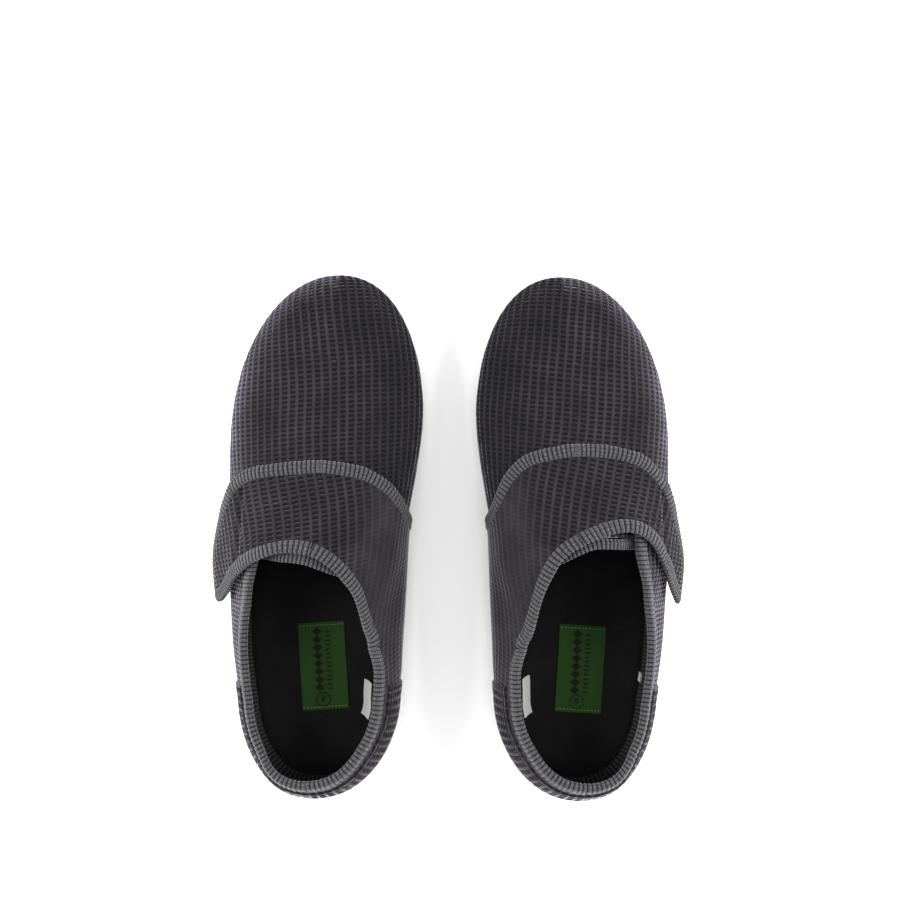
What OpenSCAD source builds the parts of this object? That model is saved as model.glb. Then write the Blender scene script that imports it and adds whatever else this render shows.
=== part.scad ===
// Pair of closed spa slippers with a cross-over strap on each.
// Millimetres, Z up, toes towards +Y, soles resting on Z = 0, pair centred on X = 0.

/* [Pair] */
// overall length of each upper, heel to toe
upper_length = 300; // [240:1:330]
// distance of each slipper's centre line from the middle of the pair
stance = 71.5; // [66:0.5:90]
// how far the right slipper stands nearer to the middle
right_shift = 1.75; // [0:0.05:4]
// turn of the right slipper, clockwise seen from above
right_turn = 1; // [0:0.1:2]

/* [Last] */
// half width at the ball of the foot
half_width = 57.5; // [46:0.5:62]
// half width at the heel
heel_half = 45.5; // [38:0.5:52]
// height of the upper over the toes
toe_z = 50; // [40:1:60]
// rise of the ridge from the toes to the back of the mouth
ridge_rise = 60; // [40:1:75]
// how far the ridge leans to the outer side behind the instep
ridge_lean = 15; // [0:1:20]
// how far the upper tucks in where it meets the sole
tuck = 4; // [1:0.5:6]

/* [Sole] */
// height of the sole's top edge under the ball
sole_fore = 14; // [10:0.5:20]
// extra height of the sole at the heel
heel_lift = 6; // [0:0.5:12]
// how far the toe end curves up from the ground
toe_spring = 6; // [0:0.5:12]
// depth of the tread grooves
tread_depth = 2.4; // [1:0.1:4]
// footbed foam thickness
footbed_t = 4; // [2:0.5:8]

/* [Upper] */
// thickness of the outer velour layer
velour_t = 1.8; // [1:0.1:2.5]
// width of the knitted edge binding
bind_w = 7.6; // [5:0.2:10]
// how far the tab stands out from the quarter below it
tab_rise = 3.7; // [3:0.1:5]
// how far the strap stands out over the tongue
strap_rise = 1.6; // [1:0.1:3]

/* [Labels] */
// woven label width
label_w = 26.5; // [15:0.5:35]
// woven label length
label_l = 50; // [30:1:60]

/* [Hidden] */
set_forward = 2.4;
toe_y = upper_length / 2 + set_forward;
heel_y = set_forward - upper_length / 2;
ball_y = 58;
instep_run = 148;
toe_fan = 100;
heel_fan = -85;
round_n = 2.1;
rear_n = 1.7;
fore_n = 2.3;
tuck_angle = 22;
hinge_a = 140;
crease_a = 38;
tongue_lo = 50;
tongue_dip = 3.3;
tongue_hi = 125;
spring_y = 90;
gap = 0.15;
tiny = 0.01;

// ---- curves of the last -------------------------------------------------
function clamp01(t) = max(0, min(1, t));
function ease(t) = let (c = clamp01(t)) c * c * (3 - 2 * c);
function mix(a, b, t) = a + (b - a) * t;
function soft(t, table, h) = (lookup(t - h, table) + lookup(t, table) + lookup(t + h, table)) / 3;

function centre_x(y) = stance - 0.035 * (y - 40) - 4 * pow(max(0, (y - 60) / 90), 2)
  - 2 * ease((-50 - y) / 60);
// how much narrower the inner side is along the arch of the foot
waist_tab = [[-75, 0], [-50, 1.6], [-28, 3.4], [-5, 5.2], [7, 5.8], [20, 4.6], [41, 2.5], [60, 0.9], [76, 0]];
function side_half(y, sg) = half(y) - (sg < 0 ? soft(y, waist_tab, 6) : 0);
function taper(y) = half_width
  - (half_width - heel_half) * pow(clamp01((ball_y - y) / instep_run), 1.6);
function toe_q(y) = clamp01((y - ball_y) / (toe_y - ball_y));
function heel_q(y) = clamp01((heel_fan - y) / (heel_fan - heel_y));
function rounded(q) = pow(max(0, 1 - pow(q, round_n)), 1 / round_n);
function half(y) = taper(y) * rounded(toe_q(y)) * rounded(heel_q(y));
function unit(v) = v / norm(v);
function out_dir(y) = y > ball_y
  ? unit([pow(rounded(toe_q(y)), round_n - 1) / half_width,
          pow(toe_q(y), round_n - 1) / (toe_y - ball_y)])
  : unit([pow(rounded(heel_q(y)), round_n - 1) / heel_half,
          -pow(heel_q(y), round_n - 1) / (heel_fan - heel_y)]);
function spring(y) = toe_spring * pow(max(0, (y - spring_y) / (toe_y - spring_y)), 2);
function feather(y) = sole_fore + heel_lift * ease((40 - y) / 120) + spring(y);
function ridge_z(y) = toe_z + ridge_rise * ease((toe_fan - y) / (toe_fan - heel_fan));
function ridge_x(y) = centre_x(y) + ridge_lean * ease((20 - y) / 90);

// point of the upper: a runs 0 (outer side at the sole) over 90 (ridge) to 180
// (inner side at the sole), d is the distance out from the last
function skin(y, a, d) = let (
    th = a <= 90 ? a : 180 - a,
    sg = a <= 90 ? 1 : -1,
    n = mix(rear_n, fore_n, ease((y + 40) / 100)),
    yr = max(heel_fan, min(toe_fan, y)),
    o = out_dir(y),
    tk = d - tuck * pow(max(0, 1 - th / tuck_angle), 2),
    fx = centre_x(y) + sg * (side_half(y, sg) + tk * o[0]),
    fy = y + tk * o[1],
    e = 1 - pow(cos(th), 2 / n),
    g = pow(sin(th), 2 / n),
    zb = feather(y))
  [mix(fx, ridge_x(yr), e), mix(fy, yr, e), mix(zb, ridge_z(yr) + d, g)];

// ---- edges of the pieces: index 0 is the left slipper, 1 the right --------
strap_front_tab = [
  [[38, 31], [46, 37], [60, 41.5], [90, 44.7], [112, 41], [130, 33], [144, 23.5], [160.5, 14], [180, 8]],
  [[38, 33], [46, 41], [60, 50.5], [75, 54], [90, 55], [112, 50], [120, 46.5], [132, 37.5],
   [145, 23.5], [160, 14], [180, 9]]];
strap_rear_tab = [
  [[38, -22.5], [43, -18.4], [54.6, -11.4], [70, -5.4], [80, -4.8], [93, -6.3],
   [103, -11], [113, -17.7], [126, -30.2], [134.4, -45], [140, -55]],
  [[38, -15], [44.4, -4], [53.8, 4], [65, 8], [75.6, 6], [87.5, 1.5],
   [99, -3], [108, -8.8], [117, -19], [127, -33], [134, -46.5], [140, -57]]];
rear_inset_tab = [[38, 9], [60, 7.8], [90, 7.6], [105, 8.6], [113, 10], [126, 11.5], [140, 12]];
tongue_rear_tab = [
  [[52, -9.5], [73, -10.3], [90, -11.5], [100, -14], [113, -17.8], [125, -21]],
  [[52, -3], [62, -2.7], [80, -1.7], [90, -3.5], [102, -7.7], [125, -16]]];
vamp_back_tab = [[0, 38], [38, 27], [50, 21], [60, 18], [75, 12.5], [90, 12], [180, 12]];
lateral_top_tab = [[-150, 37.4], [-120, 33], [-90, 31], [-70, 32], [-55, 34.5],
  [-40, 39], [-20.6, 48.2], [-9.2, 56], [40, 57]];
medial_top_tab = [[-150, 142.6], [-120, 146.5], [-100, 148], [-85, 148],
  [-70, 147], [-56, 140], [60, 140]];
quarter_front_tab = [[0, 12], [18, 14], [36, 18], [50, 19], [56, 12], [57, 5]];

function strap_front(a, k) = soft(a, strap_front_tab[k], 4);
function strap_rear(a, k) = soft(a, strap_rear_tab[k], 3);
function vamp_back(a, k) = strap_front(max(a, 42), k) - soft(a, vamp_back_tab, 4);
function lateral_top(y) = soft(y, lateral_top_tab, 4);
function medial_top(y) = soft(y, medial_top_tab, 3);

// extra height of the quarters and strap where they pass over other layers
function over(y, a) = strap_rise * ease((y + 55) / 30) * ease((min(a, 180 - a) - 20) / 20);
function strap_over(y, a) = strap_rise * ease((y + 55) / 30) + tab_rise * ease((80 - a) / 20);

// ---- solids between two grids of points ----------------------------------
module shell(outer, inner, flip = false) {
  rows = len(outer);
  cols = len(outer[0]);
  side = rows * cols;
  points = [for (g = [outer, inner]) for (r = g) for (p = r) p];
  quads = concat(
    [for (i = [0 : rows - 2]) for (j = [0 : cols - 2])
      [i * cols + j, i * cols + j + 1, (i + 1) * cols + j + 1, (i + 1) * cols + j]],
    [for (i = [0 : rows - 2]) for (j = [0 : cols - 2])
      [side + i * cols + j, side + (i + 1) * cols + j,
       side + (i + 1) * cols + j + 1, side + i * cols + j + 1]],
    [for (j = [0 : cols - 2]) [j + 1, j, side + j, side + j + 1]],
    [for (j = [0 : cols - 2]) let (b = (rows - 1) * cols)
      [b + j, b + j + 1, side + b + j + 1, side + b + j]],
    [for (i = [0 : rows - 2]) let (b = i * cols)
      [b, b + cols, side + b + cols, side + b]],
    [for (i = [0 : rows - 2]) let (b = i * cols + cols - 1)
      [b + cols, b, side + b, side + b + cols]]);
  triangles = [for (q = quads) for (t = [[q[0], q[1], q[2]], [q[0], q[2], q[3]]])
    if (distinct(points, t)) flip ? [t[0], t[2], t[1]] : t];
  keep = [for (t = triangles) if (!folded(points, t, outer, inner)) t];
  polyhedron(points = points, faces = keep, convexity = 8);
}
function distinct(p, t) = norm(p[t[0]] - p[t[1]]) > tiny
  && norm(p[t[1]] - p[t[2]]) > tiny && norm(p[t[2]] - p[t[0]]) > tiny;
// a wall whose three corners all lie on the fold at the very toe is left out
function folded(p, t, outer, inner) = closed_row(outer)
  && on_last_row(t, outer) && on_last_row_pair(t, outer);
function closed_row(g) = let (r = g[len(g) - 1])
  len(r) > 2 && norm(r[0] - r[len(r) - 1]) < tiny && norm(r[0] - r[1]) > tiny;
function on_last_row(t, g) = let (n = len(g) * len(g[0]), b = n - len(g[0]))
  len([for (v = t) if ((v % n) >= b) v]) == 3;
function on_last_row_pair(t, g) = let (n = len(g) * len(g[0]))
  len([for (v = t) if (v >= n) v]) > 0 && len([for (v = t) if (v < n) v]) > 0;

module place(k) {
  if (k == 0) mirror([1, 0, 0]) children();
  else translate([-right_shift, 0, 0]) rotate([0, 0, -right_turn]) children();
}

// rows of the toe end, closer together towards the tip
toe_steps = 9;
function toe_row(i) = ball_y + (toe_y - ball_y) * pow(sin(90 * i / toe_steps), 2 / round_n);
heel_steps = 7;
function heel_row(i) = heel_fan - (heel_fan - heel_y) * pow(cos(90 * i / heel_steps), 2 / round_n);

// ---- sole ------------------------------------------------------------------
edge_rows = concat([for (i = [0 : heel_steps]) heel_row(i)],
  [for (y = [-65 : 20 : 35]) y], [for (i = [0 : toe_steps]) toe_row(i)]);
function edge_point(y, sg, inset) = let (o = out_dir(y))
  [centre_x(y) + sg * (side_half(y, sg) - inset * o[0]), y - inset * o[1]];
function edge(inset) = concat(
  [for (y = edge_rows) edge_point(y, 1, inset)],
  [for (i = [len(edge_rows) - 2 : -1 : 1]) edge_point(edge_rows[i], -1, inset)]);

profile_rows = [for (y = [heel_y - 5 : 10 : toe_y + 5]) y];
// a slab of the given plan between two heights above the sole's top edge
module layer(lo, hi) {
  intersection() {
    linear_extrude(height = 70) children();
    rotate([90, 0, 90]) linear_extrude(height = 170) polygon(concat(
      [for (y = profile_rows) [y, feather(y) + lo]],
      [for (i = [len(profile_rows) - 1 : -1 : 0]) [profile_rows[i], feather(profile_rows[i]) + hi]]));
  }
}
// the same, from the ground side up to the sole's top edge
module ground_layer(lift, drop) {
  intersection() {
    linear_extrude(height = 70) children();
    rotate([90, 0, 90]) linear_extrude(height = 170) polygon(concat(
      [for (y = profile_rows) [y, spring(y) + lift]],
      [for (i = [len(profile_rows) - 1 : -1 : 0]) [profile_rows[i], feather(profile_rows[i]) - drop]]));
  }
}

rim_inset = 3.4;
pocket_inset = 11;
floor_t = 6;
tread_pitch = 24;
tread_w = 3;
module outsole(k) {
  color([0.13, 0.13, 0.14]) place(k) difference() {
    ground_layer(0, gap) polygon(edge(rim_inset));
    ground_layer(floor_t, -5) polygon(edge(pocket_inset));
    for (y = [heel_y + 27 : tread_pitch : toe_y - 20]) for (sg = [-1, 1])
      translate([centre_x(y), y, spring(y) - 10]) rotate([0, 0, sg * 24])
        translate([sg > 0 ? 5 : -75, -tread_w / 2, 0]) cube([70, tread_w, 10 + tread_depth]);
  }
}
module midsole(k) {
  color([0.2, 0.2, 0.21]) place(k)
    ground_layer(floor_t + gap, gap) polygon(edge(pocket_inset + gap));
}

board_t = 1.8;
bed_inset = 9;
sock_t = 1.5;
bed_z = board_t + gap;
sock_z = bed_z + footbed_t + gap;
label_z = sock_z + sock_t + gap;
module insole_board(k) {
  color([0.45, 0.38, 0.3]) place(k) layer(0.05, board_t) polygon(edge(bed_inset));
}
module footbed(k) {
  color([0.16, 0.16, 0.17]) place(k) layer(bed_z, bed_z + footbed_t) polygon(edge(bed_inset));
}
module sock_liner(k) {
  color([0.06, 0.06, 0.06]) place(k) layer(sock_z, sock_z + sock_t) polygon(edge(bed_inset));
}
label_at = [[73.5, -75, -3.5], [78, -75, -2.5]];
label_t = 0.6;
module woven_label(k) {
  at = label_at[k];
  color([0.14, 0.19, 0.11]) place(k) layer(label_z, label_z + label_t)
    translate([at[0], at[1]]) rotate(at[2]) square([label_w, label_l], center = true);
}

// ---- pieces that run round the heel ----------------------------------------
// s = 0 at the back seam, 1 at the front end of the side; f = 0 at the sole, 1 at the top
side_split = 0.82;
side_y = -9;
function side_row(s) = s < 0.35
  ? heel_fan - (heel_fan - heel_y) * pow(cos(90 * s / 0.35), 2 / round_n)
  : mix(heel_fan, side_y, clamp01((s - 0.35) / (side_split - 0.35)));
function front_part(s) = clamp01((s - side_split) / (1 - side_split));
// front: 0 the quarter's own front edge, 1 the rear edge of the vamp
function lateral_end(a, k, front) = front == 0 ? soft(a, quarter_front_tab, 3) : vamp_back(a, k) - 0.6;
function medial_end(a, k, front) = front == 0
  ? strap_front(a, k) - bind_w - gap : vamp_back(a, k) - 0.6;
function lateral_point(s, f, k, front, drop, d) = let (
    y0 = side_row(s),
    a = f * (lateral_top(y0) - drop),
    y = mix(y0, lateral_end(a, k, front), front_part(s)))
  skin(y, a, d);
function medial_point(s, f, k, front, drop, d, lift = false) = let (
    y0 = side_row(s),
    hinge_part = ease((y0 + 60) / 8),
    a = 180 - f * (180 - medial_top(y0) - drop * (1 - hinge_part) - 0.3),
    y = mix(y0, medial_end(a, k, front), front_part(s)))
  skin(y, a, lift ? d + over(y, a) : d);

steps = 19;
side_cols = 8;
edge_drop = 5.4;
module lateral_quarter(k) {
  color([0.21, 0.2, 0.22]) place(k) shell(
    [for (i = [0 : steps]) [for (j = [0 : side_cols])
      lateral_point(i / steps, j / side_cols, k, 0, edge_drop, 0.3 + velour_t)]],
    [for (i = [0 : steps]) [for (j = [0 : side_cols])
      lateral_point(i / steps, j / side_cols, k, 0, edge_drop, 0.3)]]);
}
module medial_quarter(k) {
  color([0.3, 0.29, 0.31]) place(k) shell(
    [for (i = [0 : steps]) [for (j = [side_cols : -1 : 0])
      medial_point(i / steps, j / side_cols, k, 0, edge_drop, 0.3 + velour_t, true)]],
    [for (i = [0 : steps]) [for (j = [side_cols : -1 : 0])
      medial_point(i / steps, j / side_cols, k, 0, edge_drop, 0.3, true)]]);
}
// one band round the heel, from the front of one side to the front of the other
function band(k, n, cols, lo, hi, s_lat, s_med, top_drop, d, front) = [
  for (i = [-n : n]) [for (j = [0 : cols])
    let (f = mix(lo, hi, j / cols), s = abs(i) / n)
    i < 0 ? lateral_point(s * s_lat, f, k, front, top_drop, d)
          : medial_point(s * s_med, f, k, front, top_drop, d)]];
module quarter_lining(k) {
  color([0.06, 0.06, 0.06]) place(k) shell(
    band(k, 16, 7, 0, 1, 1, 1, edge_drop, -0.9, 1),
    band(k, 16, 7, 0, 1, 1, 1, edge_drop, -2.4, 1), true);
}
module heel_counter(k) {
  color([0.7, 0.66, 0.58]) place(k) shell(
    band(k, 10, 4, 0.1, 0.8, 0.45, 0.45, edge_drop, -0.1, 1),
    band(k, 10, 4, 0.1, 0.8, 0.45, 0.45, edge_drop, -0.5, 1), true);
}
panel_drop = 7;
panel_lat = 0.37;
panel_med = 0.37;
module heel_panel(k) {
  color([0.24, 0.23, 0.25]) place(k) shell(
    band(k, 11, 6, 0, 1, panel_lat, panel_med, panel_drop, 2.3 + velour_t - 0.2, 1),
    band(k, 11, 6, 0, 1, panel_lat, panel_med, panel_drop, 2.3, 1), true);
}
tape_lo = 0.2;
tape_hi = 0.42;
module seam_tape(k) {
  color([0.07, 0.07, 0.07]) place(k) shell(
    band(k, 12, 2, tape_lo, tape_hi, 0.8, 0.8, edge_drop, -2.9, 1),
    band(k, 12, 2, tape_lo, tape_hi, 0.8, 0.8, edge_drop, -4, 1), true);
}
// knitted edge strip round the mouth, from under the strap to where the strap starts
bead_cols = 4;
bead_out = 2.4;
bead_in = 2.7;
bead_s_med = 0.51;
function top_strip(k, f, sd) = [
  for (i = [-16 : 16]) let (
      s = abs(i) / 16 * (i < 0 ? side_split + 0.03 : bead_s_med),
      y = side_row(s) + (i < 0 ? front_part(s) * 20 : 0),
      top = i < 0 ? lateral_top(y) : medial_top(y),
      sg = i < 0 ? -1 : 1)
    [for (j = [0 : bead_cols]) let (c = 2 * j / bead_cols - 1,
        bulge = sqrt(max(0, 1 - pow(abs(c), 3))))
      skin(y, top + sg * (1 - j / bead_cols) * (edge_drop - 0.3),
        sd > 0 ? mix(0.3, bead_out, bulge) : mix(-0.9, -bead_in, bulge))]];
module topline_binding(k) {
  color([0.37, 0.37, 0.4]) place(k) shell(top_strip(k, 0, 1), top_strip(k, 0, -1), true);
}
module quarter_front_binding(k) {
  as = [for (j = [0 : 8]) mix(hinge_a + 0.3, 180, j / 8)];
  color([0.37, 0.37, 0.4]) place(k) shell(
    [for (i = [0 : 3]) [for (a = as) let (y = strap_front(a, k) - bind_w * (1 - i / 3))
      skin(y, a, 0.2 + velour_t + 0.3 + over(y, a))]],
    [for (i = [0 : 3]) [for (a = as) let (y = strap_front(a, k) - bind_w * (1 - i / 3))
      skin(y, a, 0.2 + over(y, a))]]);
}

// ---- vamp --------------------------------------------------------------------
vamp_rows = 4;
vamp_cols = 20;
function vamp_grid(k, back, d) = [
  for (i = [0 : vamp_rows + toe_steps]) [for (j = [0 : vamp_cols])
    let (a = 180 * j / vamp_cols,
         y = i < vamp_rows ? mix(vamp_back(a, k) + back, ball_y, i / vamp_rows)
                           : toe_row(i - vamp_rows))
    skin(y, a, d)]];
module vamp(k) {
  color([0.2, 0.2, 0.22]) place(k) shell(vamp_grid(k, 0, 0), vamp_grid(k, 0, -velour_t));
}
module vamp_lining(k) {
  color([0.06, 0.06, 0.06]) place(k) shell(vamp_grid(k, 0, -3), vamp_grid(k, 0, -4.4));
}
puff_cols = 20;
function puff_grid(d) = [
  for (i = [4 : toe_steps]) [for (j = [0 : puff_cols]) skin(toe_row(i), 180 * j / puff_cols, d)]];
module toe_puff(k) {
  color([0.7, 0.66, 0.58]) place(k) shell(puff_grid(-2), puff_grid(-2.8));
}

// ---- tongue --------------------------------------------------------------------
tongue_rows = 4;
tongue_cols = 10;
function tongue_grid(k, from, to, d) = [
  for (i = [0 : tongue_rows]) [for (j = [0 : tongue_cols])
    let (a = mix(tongue_lo, tongue_hi, j / tongue_cols),
         rear = soft(a, tongue_rear_tab[k], 3),
         y = mix(rear + from, to > 0 ? rear + to : vamp_back(a, k) - 0.4, i / tongue_rows),
         dip = tongue_dip * ease((68 - a) / 10) * ease((24 - y) / 8))
    skin(y, a, d - dip)]];
module tongue(k) {
  color([0.2, 0.2, 0.22]) place(k)
    shell(tongue_grid(k, bind_w, 0, 0), tongue_grid(k, bind_w, 0, -velour_t));
}
module tongue_lining(k) {
  color([0.06, 0.06, 0.06]) place(k)
    shell(tongue_grid(k, bind_w, 0, -3), tongue_grid(k, bind_w, 0, -4.4));
}
module tongue_binding(k) {
  color([0.37, 0.37, 0.4]) place(k)
    shell(tongue_grid(k, 0, bind_w - gap, 0.2), tongue_grid(k, 0, bind_w - gap, -4.4));
}

// ---- strap -----------------------------------------------------------------------
strap_rows = 5;
strap_cols = 16;
function strap_rear_in(a, k) = strap_rear(a, k) + soft(a, rear_inset_tab, 4);
function strap_grid(k, rows, kind, d) = [
  for (i = [0 : rows]) [for (j = [0 : strap_cols])
    let (a = mix(crease_a + 0.3, hinge_a - 0.3, j / strap_cols),
         back = kind == 2 ? strap_front(a, k) - bind_w
              : kind == 1 ? strap_rear(a, k) : strap_rear_in(a, k) + gap,
         ahead = kind == 2 ? strap_front(a, k)
               : kind == 1 ? strap_rear_in(a, k) : strap_front(a, k) - bind_w - gap,
         y = mix(back, ahead, i / rows))
    skin(y, a, d + strap_over(y, a))]];
module strap(k) {
  color([0.29, 0.28, 0.3]) place(k)
    shell(strap_grid(k, strap_rows, 0, 0.3 + velour_t), strap_grid(k, strap_rows, 0, 0.3));
}
module strap_lining(k) {
  color([0.06, 0.06, 0.06]) place(k)
    shell(strap_grid(k, strap_rows, 0, 0.1), strap_grid(k, strap_rows, 0, -1.1));
}
module strap_binding(k) {
  color([0.37, 0.37, 0.4]) place(k) {
    shell(strap_grid(k, 2, 1, 2.4), strap_grid(k, 2, 1, -1.1));
    shell(strap_grid(k, 2, 2, 2.4), strap_grid(k, 2, 2, -1.1));
  }
}

// ---- tab -----------------------------------------------------------------------------
tab_len = 44;
tab_turn = 30;
tab_rows = 9;
tab_mid = [4.5, 8];
tab_half = [27.5, 25];
tab_back = [32, 38];
function tab_shape(v) = pow(max(0, 1 - pow(max(0, (v - 0.5) / 0.5), 2.2)), 1 / 2.2);
// v = 0 at the crease, 1 at the rounded end; u = -1 rear edge, 1 front edge
function tab_point(v, u, k, inset, d) = let (
    w = v * (1 - inset / tab_len),
    half_w = (tab_half[k] - 9 * w - inset) * tab_shape(v),
    y = tab_mid[k] - tab_back[k] * w + u * half_w)
  skin(y, crease_a - 0.3 - tab_turn * w, d + tab_rise + strap_rise);
function tab_grid(k, inset, d) = [
  for (j = [-4 : 4]) [for (i = [tab_rows : -1 : 0])
    tab_point(sin(90 * i / tab_rows), j / 4, k, inset, d)]];
module tab(k) {
  color([0.33, 0.32, 0.34]) place(k)
    shell(tab_grid(k, bind_w, 0.3 + velour_t), tab_grid(k, bind_w, 0.3));
}
module tab_lining(k) {
  color([0.06, 0.06, 0.06]) place(k)
    shell(tab_grid(k, bind_w, 0.1), tab_grid(k, bind_w, -0.9));
}
// the edge strip runs down the front edge, round the end and up the rear edge
function tab_rim(k, d) = [
  for (i = [-tab_rows : tab_rows]) [for (j = [0 : 2])
    tab_point(cos(90 * abs(i) / tab_rows), i < 0 ? 1 : -1, k,
      (bind_w - gap) * (1 - j / 2), d)]];
module tab_binding(k) {
  color([0.37, 0.37, 0.4]) place(k) shell(tab_rim(k, 2.4), tab_rim(k, -0.8), true);
}
function patch_grid(k, lo, hi, d) = [
  for (i = [0 : 4]) [for (j = [0 : 4])
    let (a = mix(lo, hi, j / 4))
    skin(tab_mid[k] - tab_back[k] * (crease_a - a) / tab_turn + mix(-8.5, 8.5, i / 4), a, d)]];
module loop_patch(k) {
  color([0.1, 0.1, 0.11]) place(k)
    shell(patch_grid(k, 15, 34, 3.1), patch_grid(k, 15, 34, 2.3));
}
module hook_patch(k) {
  color([0.08, 0.08, 0.09]) place(k)
    shell(patch_grid(k, 16, 33, 4.2), patch_grid(k, 16, 33, 3.4));
}

// ---- tags ------------------------------------------------------------------------------
care_span = [[-104, -80], [-102, -77]];
care_t = 0.5;
function care_grid(k, d) = [
  for (i = [0 : 5]) [for (j = [0 : 4])
    skin(mix(care_span[k][0], care_span[k][1], i / 5), mix(151, 163, j / 4),
      mix(-3.4, -7.4, j / 4) + d)]];
module care_label(k) {
  color([0.9, 0.9, 0.89]) place(k) shell(care_grid(k, 0), care_grid(k, -care_t));
}
function size_grid(d) = [
  for (i = [0 : 2]) [for (j = [0 : 4])
    skin(mix(-78.5, -73.5, i / 2), mix(19, 25, j / 4), mix(-7.6, -5.4, j / 4) + d)]];
module size_tag() {
  color([0.85, 0.85, 0.85]) place(1) shell(size_grid(0), size_grid(-1));
}

outsole(0);  // left_outsole
midsole(0);  // left_midsole
insole_board(0);  // left_insole_board
footbed(0);  // left_footbed
sock_liner(0);  // left_sock_liner
woven_label(0);  // left_woven_label
seam_tape(0);  // left_seam_tape
vamp(0);  // left_vamp
vamp_lining(0);  // left_vamp_lining
toe_puff(0);  // left_toe_puff
lateral_quarter(0);  // left_lateral_quarter
medial_quarter(0);  // left_medial_quarter
quarter_lining(0);  // left_quarter_lining
heel_counter(0);  // left_heel_counter
heel_panel(0);  // left_heel_panel
topline_binding(0);  // left_topline_binding
quarter_front_binding(0);  // left_quarter_front_binding
loop_patch(0);  // left_loop_patch
care_label(0);  // left_care_label
tongue(0);  // left_tongue
tongue_lining(0);  // left_tongue_lining
tongue_binding(0);  // left_tongue_binding
strap(0);  // left_strap
strap_lining(0);  // left_strap_lining
strap_binding(0);  // left_strap_binding
tab(0);  // left_tab
tab_lining(0);  // left_tab_lining
tab_binding(0);  // left_tab_binding
hook_patch(0);  // left_hook_patch
outsole(1);  // right_outsole
midsole(1);  // right_midsole
insole_board(1);  // right_insole_board
footbed(1);  // right_footbed
sock_liner(1);  // right_sock_liner
woven_label(1);  // right_woven_label
seam_tape(1);  // right_seam_tape
vamp(1);  // right_vamp
vamp_lining(1);  // right_vamp_lining
toe_puff(1);  // right_toe_puff
lateral_quarter(1);  // right_lateral_quarter
medial_quarter(1);  // right_medial_quarter
quarter_lining(1);  // right_quarter_lining
heel_counter(1);  // right_heel_counter
heel_panel(1);  // right_heel_panel
topline_binding(1);  // right_topline_binding
quarter_front_binding(1);  // right_quarter_front_binding
loop_patch(1);  // right_loop_patch
care_label(1);  // right_care_label
tongue(1);  // right_tongue
tongue_lining(1);  // right_tongue_lining
tongue_binding(1);  // right_tongue_binding
strap(1);  // right_strap
strap_lining(1);  // right_strap_lining
strap_binding(1);  // right_strap_binding
tab(1);  // right_tab
tab_lining(1);  // right_tab_lining
tab_binding(1);  // right_tab_binding
hook_patch(1);  // right_hook_patch
size_tag();  // right_size_tag
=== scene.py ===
"""Pair of closed waffle-velour spa slippers with a cross-over strap.

Every fabric piece is a bmesh grid laid on the same last as the frame's nodes, so each one sits in its
node's space. Lengths in the shaping functions are millimetres; meshes are metres.
"""

import math

import bmesh
import bpy
import numpy as np
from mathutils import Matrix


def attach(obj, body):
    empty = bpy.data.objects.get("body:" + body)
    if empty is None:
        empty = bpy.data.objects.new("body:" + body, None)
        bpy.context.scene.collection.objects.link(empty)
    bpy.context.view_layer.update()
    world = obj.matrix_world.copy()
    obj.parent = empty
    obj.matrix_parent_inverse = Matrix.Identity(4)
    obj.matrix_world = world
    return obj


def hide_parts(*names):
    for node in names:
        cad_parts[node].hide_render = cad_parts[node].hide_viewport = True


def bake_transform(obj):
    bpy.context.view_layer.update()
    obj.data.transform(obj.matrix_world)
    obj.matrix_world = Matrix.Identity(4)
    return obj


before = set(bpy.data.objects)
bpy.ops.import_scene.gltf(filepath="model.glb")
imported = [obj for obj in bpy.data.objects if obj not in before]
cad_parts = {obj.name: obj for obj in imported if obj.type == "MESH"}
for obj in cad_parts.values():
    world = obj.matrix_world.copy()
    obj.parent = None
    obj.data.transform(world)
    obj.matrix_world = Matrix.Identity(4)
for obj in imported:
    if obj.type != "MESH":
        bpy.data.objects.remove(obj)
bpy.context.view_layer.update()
MM = 0.001

# ---- the last --------------------------------------------------------------------
TOE, HEEL, BALL = 152.4, -147.6, 58.0  # y of the toe's end, the heel's end and the ball of the foot
TOE_FAN, HEEL_FAN = 100.0, -85.0  # past these the cloth's rows fan out from one point of the ridge
HALF_WIDTH, HEEL_HALF = 57.5, 45.5
ROUND = 2.1  # how square the toe and heel are in plan: 2 is an ellipse
HINGE, CREASE = 140.0, 38.0  # degrees round the last where the strap opens and where the tab peels
BIND = 7.6  # width of the knitted edge strip
STRAP_RISE, TAB_RISE = 1.6, 3.7  # how far the strap and the tab stand off what lies below
SOCK_TOP = 7.75  # the insole's top above the sole's top edge


def clamp01(t):
    return np.clip(t, 0.0, 1.0)


def ease(t):
    c = clamp01(t)
    return c * c * (3 - 2 * c)


def mix(a, b, t):
    return a + (b - a) * t


def lookup(t, table):
    keys, values = zip(*table)
    return np.interp(t, keys, values)


def soft(t, table, h):
    t = np.asarray(t, float)
    return sum(lookup(t + h * k / 3, table) for k in range(-3, 4)) / 7


def centre_x(y):
    return 71.5 - 0.035 * (y - 40) - 4 * np.maximum(0, (y - 60) / 90) ** 2 - 2 * ease((-50 - y) / 60)


def taper(y):
    return HALF_WIDTH - (HALF_WIDTH - HEEL_HALF) * clamp01((BALL - y) / 148) ** 1.6


def toe_q(y):
    return clamp01((y - BALL) / (TOE - BALL))


def heel_q(y):
    return clamp01((HEEL_FAN - y) / (HEEL_FAN - HEEL))


def heel_rows(t):
    """y from the heel's end, t = 0 at HEEL, to where the heel's fan starts, t = 1: close together at the end."""
    return HEEL_FAN - (HEEL_FAN - HEEL) * np.cos(np.radians(90 * t)) ** (2 / ROUND)


def toe_rows(t):
    return BALL + (TOE - BALL) * np.sin(np.radians(90 * t)) ** (2 / ROUND)


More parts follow.
